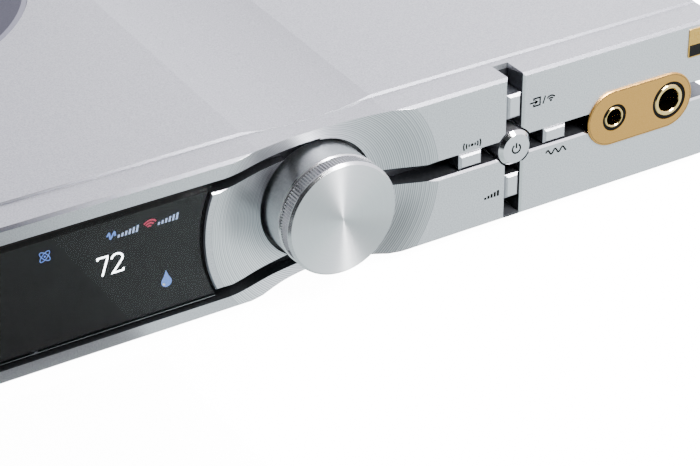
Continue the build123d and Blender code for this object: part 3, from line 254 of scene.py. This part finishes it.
MATERIALS = {
    # aluminium, blasted or machined and clear-anodised: pale and cool, soft on faces, bright on cuts
    "case_silver": blasted_aluminium("blasted_aluminium", "d4d5d9", "c0c1c6", "e6e7ea"),
    "button_silver": plain_metal("satin_button_aluminium", ("d8d8de", "e3e3e8"), 0.4),
    "cut_edge": plain_metal("polished_cut_edge", ("efeff1", "f7f7f8"), 0.1),
    # painted shade: the outer chamfers and the cover's bevel are the same aluminium, darkened in colour for
    # the dark reflections they show
    "soft_edge": plain_metal("outer_edge_painted_shade", ("7f7f86", "8b8b92"), 0.42),
    # painted shade: the groove walls and the button sides are the same silver, darkened in colour for the
    # shade inside the grooves
    "channel_wall": plain_metal("groove_wall_painted_shade", ("74767c", "82848a"), 0.4),
    # aluminium, turned: rings in the dish and on the face, smooth on the barrel, sharp at the knurl
    "dish_turned": turned_aluminium("turned_dish", ("bcbcc2", "f6f6f8"), 0.5, 0.3, 0.006, 0.3),
    "knob_turned": turned_aluminium("turned_knob", ("eeeef1", "f6f6f8"), 0.3, 0.42, 0.0006, 0.15),
    "knob_satin": plain_metal("satin_knob_barrel", ("d0d4d7", "e0e3e5"), 0.32),
    "knob_rim": plain_metal("bright_knob_rim", ("dcdde0", "e8e8ea"), 0.24),
    "knurl": plain_metal("knurled_band", ("cfd0d3", "dedfe1"), 0.25),
    # aluminium, dyed grey or black: the metal still shines through the dye; the display window's bevel among
    # them is painted shade, coloured near-black
    "disc_grey": coat("grey_anodised_plate", ("575763", "62626e"), 0.36, metallic=1.0),
    "disc_rim": coat("grey_anodised_cut_rim", ("84848f", "8e8e99"), 0.3, metallic=1.0),
    "channel_black": coat("window_bevel_painted_shade", ("1c1d1f", "242528"), 0.35, metallic=0.5),
    "heatsink_black": coat("black_anodised_extrusion", ("161618", "202023"), 0.4, metallic=0.6),
    # steel sheet, powder-coated black: matt, with a fine skin
    "liner_black": coat("black_powder_coat", ("26272a", "303134"), 0.35),
    # toughened glass and the panel behind it: clear and flat; the glass's lower edge carries a painted
    # highlight, and the unlit panel a painted dark grey glow
    "cover_glass": display_glass("coated_cover_glass"),
    "glass_edge": coat("glass_edge_painted_highlight", ("6c7576", "7d8687"), 0.4),
    "display_black": screen_off("display_face", "202020", "222222"),
    # gold plate over brass: satin on the plate, mirror-bright in the sockets, with a dark line of painted
    # shadow near its edge
    "gold": plain_metal("gold_plated_satin", ("c9954a", "d8a65c"), 0.33, 0.25, 0.006),
    "gold_bright": plain_metal("gold_plated_bright", ("ecc77c", "f6d690"), 0.14),
    "brass": plain_metal("machined_brass", ("b08d4c", "c7a562"), 0.3),
    "plate_line": coat("plate_edge_painted_shadow", ("5a4426", "6a5230"), 0.5, metallic=0.5),
    # other metal: zinc and nickel plate are pale and warm, black oxide is dull
    "steel": plain_metal("zinc_plated_steel", ("9fa2a6", "b4b6ba"), 0.35),
    "nickel": plain_metal("nickel_plate", ("b3b0a8", "c9c6be"), 0.22),
    "screw_black": coat("black_oxide", ("17181a", "202124"), 0.4, metallic=0.7),
    # mouldings: nylon, epoxy and rubber, even and nearly black
    "jack_black": coat("black_moulding", ("020202", "060606"), 0.6, shine=0.1),
    "component_black": coat("moulded_component", ("141415", "1c1c1d"), 0.55),
    "foot_rubber": coat("moulded_rubber", ("151515", "1d1d1d"), 0.8, 0.6, 0.03),
    # electronics: green solder mask, blue shrink sleeve, amber film
    "board_green": coat("solder_mask", ("0d3b22", "125030"), 0.35, 1.2, 0.01),
    "capacitor_sleeve": coat("shrink_sleeve", ("131a3a", "1b2450"), 0.3),
    "flex_amber": coat("polyimide_flex", ("8a4a12", "a55c1a"), 0.35),
    # prints: gold foil and flat black ink that hardly shines
    "badge_gold": plain_metal("badge_gold_print", ("cfa04c", "e0b766"), 0.35),
    "badge_black": coat("badge_black_print", ("070707", "0d0d0d"), 0.7, shine=0.15),
    "print_black": coat("pad_printed_ink", ("040405", "09090a"), 0.9, 0.3, 0.002, shine=0.1),
    # light of the display
    "lit_white": glow("display_white", "eceef2", "ffffff", 12.0),
    "lit_blue": glow("display_blue", "5f86dc", "7fa0ea", 1.6),
    "lit_pale_blue": glow("display_pale_blue", "9fb4e0", "b9cbee", 1.8),
    "lit_red": glow("display_red", "b8405a", "cf5068", 1.4),
    "lit_grey": glow("display_grey", "d4d2ca", "e4e2da", 1.6),
}
RECORD_SLOT = {entry["node"]: entry["material_slot"] for entry in frame["record"]["subparts"]}


def dress(node, material):
    """Give a CAD node its finish."""
    slots = NODES[node].data.materials
    slots.clear()
    slots.append(material)


def paint(node, material, rule):
    """Give the faces that the rule picks, by middle and outward normal, a finish of their own."""
    mesh = NODES[node].data
    mesh.materials.append(material)
    index = len(mesh.materials) - 1
    for face in mesh.polygons:
        if rule(face.center, face.normal):
            face.material_index = index


for node_name in NODES:
    dress(node_name, MATERIALS.get(RECORD_SLOT[node_name], MATERIALS["component_black"]))
dress("dish_centre", MATERIALS["case_silver"])
dress("knob", MATERIALS["knob_satin"])

# ---- finishes by place: turned dish, cut edges, groove walls -----------------------------------------

DISH_R = 31.5 * MM
HAIR = 0.02 * MM                    # slack that keeps a face on the right side of a limit
CHAMFER_DEPTH = 0.8 * MM            # no chamfer of the face lies deeper
BEVEL_DEPTH = 1.3 * MM              # nor does the bevel of the display window
TOP_MARGIN = 1.6 * MM               # chamfers along the top lie within this
BOTTOM_MARGIN = 1.8 * MM
SIDE_MARGIN = 1 * MM
COVER_MARGIN = 2.5 * MM             # the cover's bevel lies within this of its top
WINDOW_NEAR, WINDOW_FAR = 14 * MM, 17 * MM      # the window's bevels, above and below the knob's axis
GLASS_SIDE = KNOB_AXIS.x - 20 * MM              # the display lies left of this
KNURL_FRONT_Y = KNOB_FRONT + 1.05 * MM
KNURL_BACK_Y = KNOB_FRONT + 4.25 * MM
RIM_BACK_Y = KNURL_BACK_Y + 1.26 * MM
FRONT_BLOCKS = tuple("front_panel_" + place for place in ("top", "bottom", "top_right", "bottom_right"))


def from_knob(point):
    """Distance of a point from the knob's axis."""
    return ((point.x - KNOB_AXIS.x) ** 2 + (point.z - KNOB_AXIS.z) ** 2) ** 0.5


def in_dish(point, normal):
    """The turned surface round the knob."""
    return from_knob(point) < DISH_R and normal.y < -0.6 and point.y > FACE_Y + HAIR


def is_cut_edge(point, normal):
    """The chamfers along the edges of the face."""
    return -0.86 < normal.y < -0.4 and point.y < FACE_Y + CHAMFER_DEPTH


def is_outer_edge(point, normal):
    """The chamfers along the top of the front blocks."""
    return is_cut_edge(point, normal) and normal.z > 0.4 and point.z > BLOCK_HIGH.z - TOP_MARGIN


def is_glass_side(point, normal):
    """The curved chamfer of the centre piece beside the display."""
    return is_cut_edge(point, normal) and normal.x < -0.3 and point.x < GLASS_SIDE


def is_window_edge(point, normal):
    """The bevels above and below the display, coloured near-black with it as painted shade."""
    beside = WINDOW_NEAR < abs(point.z - KNOB_AXIS.z) < WINDOW_FAR
    sloping = -0.86 < normal.y < -0.4 and point.y < FACE_Y + BEVEL_DEPTH
    return sloping and beside and point.x < KNOB_AXIS.x - DISH_R


def is_channel_wall(point, normal):
    """Walls of the grooves, behind the chamfer."""
    inside = CASE_LOW.x + SIDE_MARGIN < point.x < CASE_HIGH.x - SIDE_MARGIN
    between = FACE_BOTTOM + BOTTOM_MARGIN < point.z < BLOCK_HIGH.z - TOP_MARGIN
    return abs(normal.y) < 0.4 and point.y > FACE_Y + 0.2 * MM and inside and between


def is_cover_edge(point, normal):
    """The bevel along the front of the cover."""
    return 0.4 < normal.z < 0.9 and normal.y < -0.4 and point.z > CASE_HIGH.z - COVER_MARGIN


def is_knob_rim(point, normal):
    """The front of the knob, as far back as the groove behind the knurl."""
    return point.y < RIM_BACK_Y


def is_knurl(point, normal):
    """The teeth round the knob."""
    return KNURL_FRONT_Y - HAIR < point.y < KNURL_BACK_Y + HAIR and abs(normal.y) < 0.5


def is_knob_face(point, normal):
    """The flat end of the knob."""
    return normal.y < -0.99 and point.y < KNOB_FRONT + 0.01 * MM


def is_disc_rim(point, normal):
    """The chamfer round the plate in the top."""
    return 0.3 < normal.z < 0.98 and point.z > DISC_TOP - 1 * MM


# painted shade among these: the groove walls, the outer chamfers and the window bevels are coloured darker
# than the aluminium they are cut in
for block in FRONT_BLOCKS + ("dish_centre",):
    paint(block, MATERIALS["channel_wall"], is_channel_wall)
    paint(block, MATERIALS["cut_edge"], is_cut_edge)
    paint(block, MATERIALS["soft_edge"], is_outer_edge)
    paint(block, MATERIALS["soft_edge"], is_glass_side)
    paint(block, MATERIALS["dish_turned"], in_dish)
    paint(block, MATERIALS["channel_black"], is_window_edge)
# painted shade: the cover's bevel takes the darkened outer-edge colour
paint("top_cover", MATERIALS["soft_edge"], is_cover_edge)
paint("knob", MATERIALS["knob_rim"], is_knob_rim)
paint("knob", MATERIALS["knurl"], is_knurl)
paint("knob", MATERIALS["knob_turned"], is_knob_face)
paint("power_button", MATERIALS["cut_edge"], lambda point, normal: -0.9 < normal.y < -0.4)
# painted shade: the sides of the buttons take the darkened groove-wall colour
for button in ("button_left", "button_right", "button_up", "button_down"):
    paint(button, MATERIALS["channel_wall"], lambda point, normal: abs(normal.y) < 0.3)
paint("top_disc", MATERIALS["disc_rim"], is_disc_rim)
for plated in ("jack_635_collar", "jack_44_collar"):
    dress(plated, MATERIALS["gold_bright"])

# ---- flat marks: strokes and filled shapes cut from thin sheet ---------------------------------------


def ribbon(points, width, closed=False):
    """Outline pieces of a stroke of this width through the points, as quads with mitred corners."""
    count = len(points)
    sides = []
    for index, here in enumerate(points):
        before = points[index - 1] if index or closed else here
        after = points[(index + 1) % count] if index < count - 1 or closed else here
        ahead = (Vector(after) - Vector(here))
        behind = (Vector(here) - Vector(before))
        ahead = ahead.normalized() if ahead.length else behind.normalized()
        behind = behind.normalized() if behind.length else ahead
        along = (ahead + behind).normalized()
        across = Vector((-along.y, along.x))
        reach = width / 2 / max(0.35, across.dot(Vector((-ahead.y, ahead.x))))
        sides.append((Vector(here) + across * reach, Vector(here) - across * reach))
    last = count if closed else count - 1
    return [(sides[i][0], sides[i][1], sides[(i + 1) % count][1], sides[(i + 1) % count][0])
            for i in range(last)]


def arc(x, y, radius, start_deg, end_deg, steps=24, squash=1.0):
    """Points along an arc."""
    turn = [start_deg + (end_deg - start_deg) * i / steps for i in range(steps + 1)]
    return [(x + radius * cos(radians(a)), y + radius * squash * sin(radians(a))) for a in turn]


def mark(name, outlines, at, y, material, body, thickness=0.02, lean=0.0):
    """A thin raised print or lit shape parallel to the face, its outlines in millimetres about a point."""
    mesh = bpy.data.meshes.new(name)
    shape = bmesh.new()
    for outline in outlines:
        ring = [shape.verts.new((at[0] + (u + lean * v) * MM, y, at[1] + v * MM)) for u, v in outline]
        face = shape.faces.new(ring)
        if face.normal.length == 0:
            face.normal_update()
        raised = bmesh.ops.extrude_face_region(shape, geom=[face])
        moved = [item for item in raised["geom"] if isinstance(item, bmesh.types.BMVert)]
        bmesh.ops.translate(shape, verts=moved, vec=(0, -thickness * MM, 0))
    bmesh.ops.recalc_face_normals(shape, faces=shape.faces)
    shape.to_mesh(mesh)
    piece = bpy.data.objects.new(name, mesh)
    piece.data.materials.append(material)
    bpy.context.collection.objects.link(piece)
    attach(piece, body)
    return piece


def around_knob(x_mm, z_mm):
    """A place on the face, in millimetres from the knob's axis."""
    return (KNOB_AXIS.x + x_mm * MM, KNOB_AXIS.z + z_mm * MM)


INK = MATERIALS["print_black"]
FINE_LINE, LINE, BOLD_LINE = 0.38, 0.42, 0.46       # widths of printed strokes, in millimetres

# middles or left ends of the printed marks
SURROUND_PRINT = around_knob(41.2, 4.75)
BASS_PRINT = around_knob(66.9, -4.4)
GAIN_PRINT = around_knob(45.2, -12.2)
INPUT_PRINT = around_knob(59.5, 11.2)


def bars(count, pitch, width, low, step):
    """A row of upright bars that grow by a step."""
    return [[(i * pitch, 0), (i * pitch + width, 0),
             (i * pitch + width, low + i * step), (i * pitch, low + i * step)] for i in range(count)]


def printed_marks():
    """Plain pictograms beside the buttons: surround, bass, input and gain."""
    surround = [piece for radius in (0.9, 1.7, 2.5) for side in (0, 180)
                for piece in ribbon(arc(0, 0, radius, side - 24, side + 24, 8), LINE)]
    surround += [arc(0, 0, 0.42, 0, 330, 11)]
    mark("print_surround", surround, SURROUND_PRINT, FACE_Y, INK, "chassis")
    wave = ribbon([(-3.2 + 0.2 * i, 0.62 * sin(i * 0.55)) for i in range(33)], BOLD_LINE)
    mark("print_bass", wave, BASS_PRINT, FACE_Y, INK, "chassis")
    mark("print_gain", bars(5, 0.95, 0.66, 0.6, 0.26), GAIN_PRINT, FACE_Y, INK, "chassis")
    tray = ribbon([(-0.1, 0.5), (-0.1, 1.05), (1.8, 1.05), (1.8, -1.05), (-0.1, -1.05), (-0.1, -0.5)], 0.44)
    arrow = ribbon([(-1.3, 0), (0.9, 0)], LINE) + [[(0.3, 0.7), (1.3, 0.0), (0.3, -0.7)]]
    slash = ribbon([(2.7, -1.05), (3.4, 1.05)], FINE_LINE)
    radio = [piece for radius in (0.75, 1.4)
             for piece in ribbon(arc(5.1, -0.75, radius, 35, 145, 10), LINE)]
    radio += [arc(5.1, -0.7, 0.34, 0, 330, 11)]
    mark("print_input", tray + arrow + slash + radio, INPUT_PRINT, FACE_Y, INK, "chassis")
    ring = ribbon(arc(0, 0, 1.2, 122, 418, 30), BOLD_LINE) + ribbon([(0, 0.15), (0, 1.6)], BOLD_LINE)
    mark("print_power", ring, (POWER.x, POWER.z), POWER_FRONT, INK, "power_button")


def badge_field():
    """The lower, black field of the two-tone badge."""
    low, high = corners("badge")
    width = (high.x - low.x) / 2 / MM - 0.3
    tall = (high.z - low.z) / MM
    field = [(-width, 0.3), (width, 0.3), (width, 0.44 * tall), (-width, 0.44 * tall)]
    mark("badge_black_field", [field], ((low.x + high.x) / 2, low.z), low.y, MATERIALS["badge_black"],
         "chassis")


def glass_edge():
    """The lower edge of the cover glass: a thin strip, grey-green like glass and painted lighter as a
    highlight for the line of light the edge catches.
    """
    low, high = corners("display_glass")
    width = (high.x - low.x) / MM
    line = [(0.3, 0.1), (width - 0.6, 0.1), (width - 0.6, 0.24), (0.3, 0.24)]
    mark("glass_lower_edge", [line], (low.x, low.z), low.y, MATERIALS["glass_edge"], "chassis",
         thickness=0.01)


def plate_outline():
    """A dark line painted just inside the edge of the headphone plate, as painted shadow for the gap round
    the plate.
    """
    low, high = corners("jack_plate")
    across, tall = (high.x - low.x) / 2 / MM, (high.z - low.z) / 2 / MM
    reach, radius = across - tall, tall - 0.45
    line = arc(reach, 0, radius, -90, 90) + arc(-reach, 0, radius, 90, 270)
    centre = ((low.x + high.x) / 2, (low.z + high.z) / 2)
    mark("plate_outline", ribbon(line, 0.16, closed=True), centre, low.y, MATERIALS["plate_line"], "chassis",
         thickness=0.01)


DRAWN_HEIGHT = 6.4          # height of the digits as drawn below
DIGIT_NARROWING = 0.92
DIGIT_STROKE = 0.52


def numeral(digit, x, height):
    """One slab digit, as strokes."""
    shapes = {
        "7": [[(-1.35, 2.4), (-1.35, 3.1), (1.35, 3.1), (1.35, 2.6), (-0.35, -3.1)]],
        "2": [arc(-0.05, 1.45, 1.5, 172, -34, 18) + [(-1.45, -2.95), (1.55, -2.95)],
              [(1.5, -2.95), (1.5, -2.2)]],
    }
    scale = height / DRAWN_HEIGHT
    return [[(x + u * DIGIT_NARROWING, v * scale) for u, v in quad]
            for stroke in shapes[digit] for quad in ribbon(stroke, DIGIT_STROKE)]


# middles or left ends of the lit marks
VOLUME_LIT = around_knob(-56.91, 2.08)
BASS_LIT = around_knob(-57.46, 8.45)
BASS_LEVEL_LIT = around_knob(-57.66, 8.45)
SURROUND_LIT = around_knob(-47.56, 8.55)
SURROUND_LEVEL_LIT = around_knob(-44.46, 8.55)
FILTER_LIT = around_knob(-72.56, 9.35)
DROPLET_LIT = around_knob(-43.06, -6.25)
LEAN = 0.25                 # how far the effect pictograms lean to the right as they rise


def lit_marks():
    """What the display shows: a volume number, two effect pictograms, a filter pictogram and a droplet."""
    mark("lit_volume", numeral("7", -1.8, 5.0) + numeral("2", 1.85, 5.15), VOLUME_LIT, DISPLAY_FACE,
         MATERIALS["lit_white"], "chassis")
    wave = ribbon([(0.15 * i, 1.0 + 0.75 * sin(i * 0.7)) for i in range(15)], 0.42)
    level = [[(u + 3.0, v) for u, v in bar] for bar in bars(6, 0.92, 0.5, 0.7, 0.2)]
    mark("lit_bass", wave, BASS_LIT, DISPLAY_FACE, MATERIALS["lit_blue"], "chassis", lean=LEAN)
    mark("lit_bass_level", level, BASS_LEVEL_LIT, DISPLAY_FACE, MATERIALS["lit_pale_blue"], "chassis",
         lean=LEAN)
    fan = [piece for radius in (0.6, 1.3, 2.0)
           for piece in ribbon(arc(0.9, -0.1, radius, 40, 140, 12), 0.4)]
    mark("lit_surround", fan, SURROUND_LIT, DISPLAY_FACE, MATERIALS["lit_red"], "chassis", lean=LEAN)
    level = bars(6, 0.92, 0.5, 0.7, 0.2)
    mark("lit_surround_level", level, SURROUND_LEVEL_LIT, DISPLAY_FACE, MATERIALS["lit_pale_blue"], "chassis",
         lean=LEAN)
    loops = []
    for turn in (45, -45):
        cosine, sine = cos(radians(turn)), sin(radians(turn))
        oval = [(1.62 * cos(t), 0.66 * sin(t)) for t in [2 * pi * i / 36 for i in range(36)]]
        loops += ribbon([(u * cosine - v * sine, u * sine + v * cosine) for u, v in oval], 0.2, closed=True)
    mark("lit_filter", loops + [arc(0, 0, 0.26, 0, 330, 11)], FILTER_LIT, DISPLAY_FACE,
         MATERIALS["lit_blue"], "chassis")
    drop = arc(0, -0.9, 1.35, 150, 390, 24) + [(0.6, 0.7), (0.0, 2.3), (-0.6, 0.7)]
    mark("lit_droplet", [drop], DROPLET_LIT, DISPLAY_FACE, MATERIALS["lit_blue"], "chassis")
    glint = arc(-0.35, -1.05, 0.75, 185, 265, 8) + arc(-0.35, -1.05, 0.3, 265, 185, 8)
    mark("lit_droplet_glint", [glint], DROPLET_LIT, DISPLAY_FACE - 0.025 * MM, MATERIALS["lit_grey"],
         "chassis", thickness=0.005)


badge_field()
glass_edge()
plate_outline()
printed_marks()
lit_marks()

# ---- floor, light and camera ------------------------------------------------------------------------

ROOM_STRENGTH = 2.5
FLOOR_GLOW = 14.0           # keeps the paper white; metal and glass don't see it
SOFTBOX_PLACE = (0.2, -0.62, 0.72)
SOFTBOX_AIM = (0.02, -0.11, 0.02)
SOFTBOX_SIZE = (0.44, 0.34)
SOFTBOX_WATTS = 36.0
# dim sides of the room: the direction, the cosines where dimming begins and ends, and the shade there
DIM_SIDES = (
    ((-0.5, 0.7, 0.5), 0.5, 0.85, "a0a0a3"),
    ((-0.37, -0.72, -0.59), 0.6, 0.95, "c4c6c7"),
    ((-0.45, -0.8, 0.38), 0.68, 0.83, "0c0c0e"),
)
BLACK_CARD = ("141516", "1c1d1e")
GREY_CARD = ("38393a", "424344")
FLOOR_FRONT, FLOOR_BACK, FLOOR_HALF = -2.2, 1.6, 3.0
CURVE_R = 0.6               # the floor's turn upwards at the back
FLOOR_TOP = 2.6


def studio_floor():
    """A wide pale floor that curves up behind the object."""
    material, shader = start("studio_floor_paper", Roughness=0.9)
    shader.inputs["Emission Color"].default_value = colour("ffffff")
    shader.inputs["Emission Strength"].default_value = FLOOR_GLOW
    fibre = grains(material, 1.5)
    plug(material, ramp(material, fibre, [(0.3, colour("fafafa")), (0.7, colour("ffffff"))]),
         shader.inputs["Base Color"])
    mesh = bpy.data.meshes.new("studio_floor")
    shape = bmesh.new()
    profile = [(FLOOR_FRONT, 0.0), (FLOOR_BACK, 0.0)]
    profile += [(FLOOR_BACK + CURVE_R * sin(radians(a)), CURVE_R - CURVE_R * cos(radians(a)))
                for a in range(10, 100, 10)]
    profile += [(FLOOR_BACK + CURVE_R, FLOOR_TOP)]
    rows = [[shape.verts.new((x, y, z)) for x in (-FLOOR_HALF, FLOOR_HALF)] for y, z in profile]
    for near, far in zip(rows, rows[1:]):
        shape.faces.new((near[0], near[1], far[1], far[0]))
    shape.to_mesh(mesh)
    floor = bpy.data.objects.new("studio_floor", mesh)
    floor.data.materials.append(material)
    floor.visible_glossy = False
    floor.visible_diffuse = False
    floor.visible_transmission = False
    bpy.context.collection.objects.link(floor)


def softbox(name, place, target, size, power):
    """A rectangular soft light aimed at a point."""
    data = bpy.data.lights.new(name, "AREA")
    data.shape = "RECTANGLE"
    data.size, data.size_y = size
    data.energy = power
    lamp = bpy.data.objects.new(name, data)
    lamp.location = place
    lamp.rotation_euler = (Vector(target) - Vector(place)).to_track_quat("-Z", "Y").to_euler()
    bpy.context.collection.objects.link(lamp)
    return lamp


def studio_light():
    """A pale room, lavender above and cool below, dim on three sides, with a softbox over the front."""
    world = bpy.data.worlds.new("studio")
    world.use_nodes = True
    toward = add(world, "ShaderNodeTexCoord")
    split = add(world, "ShaderNodeSeparateXYZ", links={"Vector": toward.outputs["Generated"]})
    height = add(world, "ShaderNodeMapRange", {"From Min": -1.0}, {"Value": split.outputs["Z"]})
    room = ramp(world, height.outputs["Result"],
                [(0.0, colour("acb7b8")), (0.25, colour("c2cecf")), (0.45, colour("d0d9da")),
                 (0.6, colour("e6e5ed")), (1.0, colour("f2f0fa"))])
    tone = room
    for side, begins, ends, shade in DIM_SIDES:
        aside = add(world, "ShaderNodeVectorMath", {"operation": "DOT_PRODUCT", 1: side},
                    {0: toward.outputs["Generated"]})
        fall = ramp(world, aside.outputs["Value"], [(begins, colour("ffffff")), (ends, colour(shade))])
        dimmed = add(world, "ShaderNodeVectorMath", {"operation": "MULTIPLY"}, {0: tone, 1: fall})
        tone = dimmed.outputs["Vector"]
    background = world.node_tree.nodes["Background"]
    background.inputs["Strength"].default_value = ROOM_STRENGTH
    plug(world, tone, background.inputs["Color"])
    bpy.context.scene.world = world
    softbox("overhead_front_softbox", SOFTBOX_PLACE, SOFTBOX_AIM, SOFTBOX_SIZE, SOFTBOX_WATTS)


def flag(name, place, target, size, shade, shadow=False):
    """A dark card that metal sees in its reflections; with shadow it also holds back the softbox."""
    material, shader = start(name + "_cloth", Roughness=0.9)
    weave = grains(material, 3.0)
    plug(material, ramp(material, weave, [(0.3, colour(shade[0])), (0.7, colour(shade[1]))]),
         shader.inputs["Base Color"])
    mesh = bpy.data.meshes.new(name)
    shape = bmesh.new()
    across, tall = size[0] / 2, size[1] / 2
    shape.faces.new([shape.verts.new((x, y, 0)) for x, y in
                     ((-across, -tall), (across, -tall), (across, tall), (-across, tall))])
    shape.to_mesh(mesh)
    card = bpy.data.objects.new(name, mesh)
    card.data.materials.append(material)
    card.location = place
    card.rotation_euler = (Vector(target) - Vector(place)).to_track_quat("-Z", "Y").to_euler()
    card.visible_camera = False
    card.visible_shadow = shadow
    bpy.context.collection.objects.link(card)


CAMERA_TURN = radians(-31.172)      # the camera stands to the left of the front
CAMERA_DROP = radians(31.047)       # and looks down
CAMERA_ROLL = radians(-0.543)
# from the point where the knob's axis meets the face
CAMERA_FROM_KNOB = Vector((-0.23856, -0.40428, 0.27526))
LENS_MM = 117.65
SENSOR_MM = 36.0


def camera():
    """The camera: close to the front, to the left of the knob and above it."""
    data = bpy.data.cameras.new("camera")
    data.lens = LENS_MM
    data.sensor_width = SENSOR_MM
    data.clip_start = 0.01
    data.clip_end = 20
    eye = bpy.data.objects.new("camera", data)
    eye.location = Vector((KNOB_AXIS.x, FACE_Y, KNOB_AXIS.z)) + CAMERA_FROM_KNOB
    turn = Matrix.Rotation(CAMERA_TURN, 4, "Z") @ Matrix.Rotation(pi / 2 - CAMERA_DROP, 4, "X")
    eye.matrix_world = Matrix.Translation(eye.location) @ turn @ Matrix.Rotation(CAMERA_ROLL, 4, "Z")
    bpy.context.collection.objects.link(eye)
    bpy.context.scene.camera = eye


studio_floor()
studio_light()
LEFT_FLAG_PLACE, LEFT_FLAG_AIM = (-0.8, -0.6, 0.35), (0.0, -0.1, 0.03)
EDGE_FLAG_PLACE, EDGE_FLAG_AIM = (-0.05, -0.27, 0.28), (-0.115, -0.115, 0.043)
TABLE_CARD_PLACE, TABLE_CARD_AIM = (-0.102, FACE_Y - 0.045, 0.0006), (-0.102, FACE_Y - 0.045, 1.0)
flag("left_flag", LEFT_FLAG_PLACE, LEFT_FLAG_AIM, (0.5, 0.9), BLACK_CARD)
flag("edge_flag", EDGE_FLAG_PLACE, EDGE_FLAG_AIM, (0.26, 0.2), BLACK_CARD, shadow=True)
flag("table_card", TABLE_CARD_PLACE, TABLE_CARD_AIM, (0.14, 0.085), GREY_CARD)
camera()
